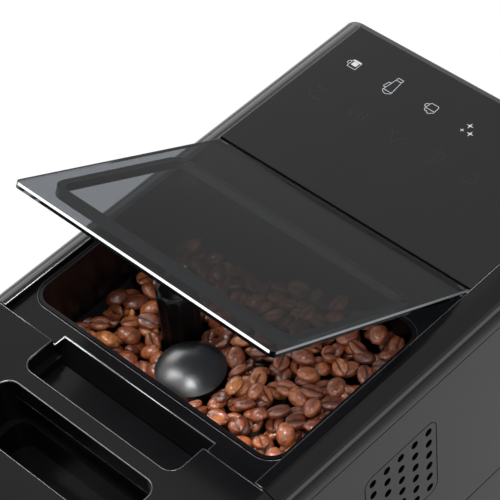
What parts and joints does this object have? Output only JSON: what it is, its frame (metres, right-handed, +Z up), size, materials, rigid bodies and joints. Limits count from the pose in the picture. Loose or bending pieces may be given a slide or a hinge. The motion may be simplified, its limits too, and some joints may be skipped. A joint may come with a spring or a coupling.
{
  "type": "bean to cup coffee machine",
  "caption": "Slim countertop bean to cup coffee machine with a smoked bean lid, touch panel, rear water tank, height-adjustable spout and pull-out drip tray.",
  "frame": {"origin": "centre of the footprint, on the surface it stands on", "axes": "+Z up, -Y to the front that the user faces, +X to the user's right when facing the front"},
  "size_m": [0.1968, 0.43, 0.39],
  "materials": {
    "casing_black": "satin black moulded ABS",
    "panel_glass": "smooth black touch panel",
    "fascia_grey": "dark grey satin",
    "smoked_clear": "smoked transparent",
    "tank_clear": "smoke-tinted transparent",
    "hopper_smoke": "dark smoked, glossy",
    "knob_black": "satin black",
    "inner_black": "matt moulded",
    "inner_grey": "matt moulded",
    "gear_white": "acetal, natural",
    "steel": "brushed or turned",
    "cast_alloy": "as cast",
    "foot_rubber": "matt rubber",
    "board_green": "solder mask",
    "roasted_bean": "oily roasted",
    "float_red": "gloss red"
  },
  "bodies": {
    "root": {"base_plate": "inner_black", "rubber_feet": "foot_rubber", "chassis_frame": "inner_black", "side_panel_left": "casing_black", "side_panel_right": "casing_black", "front_fascia": "fascia_grey", "bay_liner": "casing_black", "spout_recess": "casing_black", "top_housing": "casing_black", "rear_panel": "casing_black", "touch_panel": "panel_glass", "control_board": "board_green", "hopper_tub": "hopper_smoke", "inlet_guard": "hopper_smoke", "coffee_beans": "roasted_bean", "grinder_body": "inner_grey", "grinder_motor": "steel", "spout_rail": "inner_black", "tank_socket": "inner_black", "brew_frame": "inner_grey", "brew_chamber": "gear_white", "thermoblock": "cast_alloy", "water_pump": "inner_black", "pump_saddles": "foot_rubber", "main_board": "board_green", "power_inlet": "inner_black", "switch_frame": "inner_black"},
    "bean_lid": {"lid_plate": "smoked_clear", "lid_frame": "knob_black", "hinge_pins": "steel"},
    "grind_knob": {"grind_knob": "knob_black", "knob_shaft": "steel"},
    "adjusting_ring": {"adjusting_ring": "gear_white", "upper_burr": "steel"},
    "burr_rotor": {"lower_burr": "steel", "burr_shaft": "steel"},
    "service_door": {"service_door": "casing_black", "door_pins": "steel"},
    "water_tank": {"tank_shell": "tank_clear", "tank_filter": "gear_white", "rear_cover": "casing_black"},
    "tank_valve": {"tank_valve": "gear_white"},
    "drip_tray": {"drip_tray": "casing_black", "grounds_container": "inner_black"},
    "drip_grid": {"drip_grid": "steel", "grid_end": "steel"},
    "tray_float": {"tray_float": "float_red"},
    "coffee_spout": {"spout_body": "casing_black", "spout_nozzles": "inner_black"},
    "power_switch": {"power_switch": "knob_black"},
    "brew_piston": {"brew_piston": "inner_black"}
  },
  "joints": [
    {"name": "lid_hinge", "type": "hinge", "parent": "root", "child": "bean_lid", "pos_m": [0, -0.0563, 0.3181], "axis": [1, 0, 0], "range_deg": [-28.5, 61.5]},
    {"name": "knob_turn", "type": "hinge", "parent": "root", "child": "grind_knob", "pos_m": [0.0006, 0.0522, 0.3], "axis": [0, 0, 1], "range_deg": [-90, 90]},
    {"name": "ring_turn", "type": "hinge", "parent": "root", "child": "adjusting_ring", "pos_m": [0.0326, 0.0282, 0.235], "axis": [0, 0, 1], "range_deg": [-30, 30]},
    {"name": "burr_spin", "type": "hinge", "parent": "root", "child": "burr_rotor", "pos_m": [0.0326, 0.0282, 0.22], "axis": [0, 0, 1], "continuous": true},
    {"name": "door_hinge", "type": "hinge", "parent": "root", "child": "service_door", "pos_m": [0.09715, 0.00595, 0.154], "axis": [0, 0, 1], "range_deg": [0, 100]},
    {"name": "tank_lift", "type": "slide", "parent": "root", "child": "water_tank", "axis": [0, 0, 1], "range_m": [0, 0.22]},
    {"name": "valve_lift", "type": "slide", "parent": "water_tank", "child": "tank_valve", "axis": [0, 0, 1], "range_m": [0, 0.002], "stiffness_N_per_m": 150, "springref_m": -0.003},
    {"name": "tray_slide", "type": "slide", "parent": "root", "child": "drip_tray", "axis": [0, -1, 0], "range_m": [0, 0.23]},
    {"name": "grid_lift", "type": "slide", "parent": "drip_tray", "child": "drip_grid", "axis": [0, 0, 1], "range_m": [0, 0.03]},
    {"name": "float_rise", "type": "slide", "parent": "drip_tray", "child": "tray_float", "axis": [0, 0, 1], "range_m": [0, 0.006]},
    {"name": "spout_slide", "type": "slide", "parent": "root", "child": "coffee_spout", "axis": [0, 0, 1], "range_m": [-0.06, 0]},
    {"name": "switch_tip", "type": "hinge", "parent": "root", "child": "power_switch", "pos_m": [-0.014, 0.2094, 0.066], "axis": [1, 0, 0], "range_deg": [0, 18]},
    {"name": "piston_lift", "type": "slide", "parent": "root", "child": "brew_piston", "axis": [0, 0, 1], "range_m": [0, 0.03]}
  ],
  "couplings": [
    {"joint": "ring_turn", "follows": "knob_turn", "ratio": -0.33333}
  ]
}
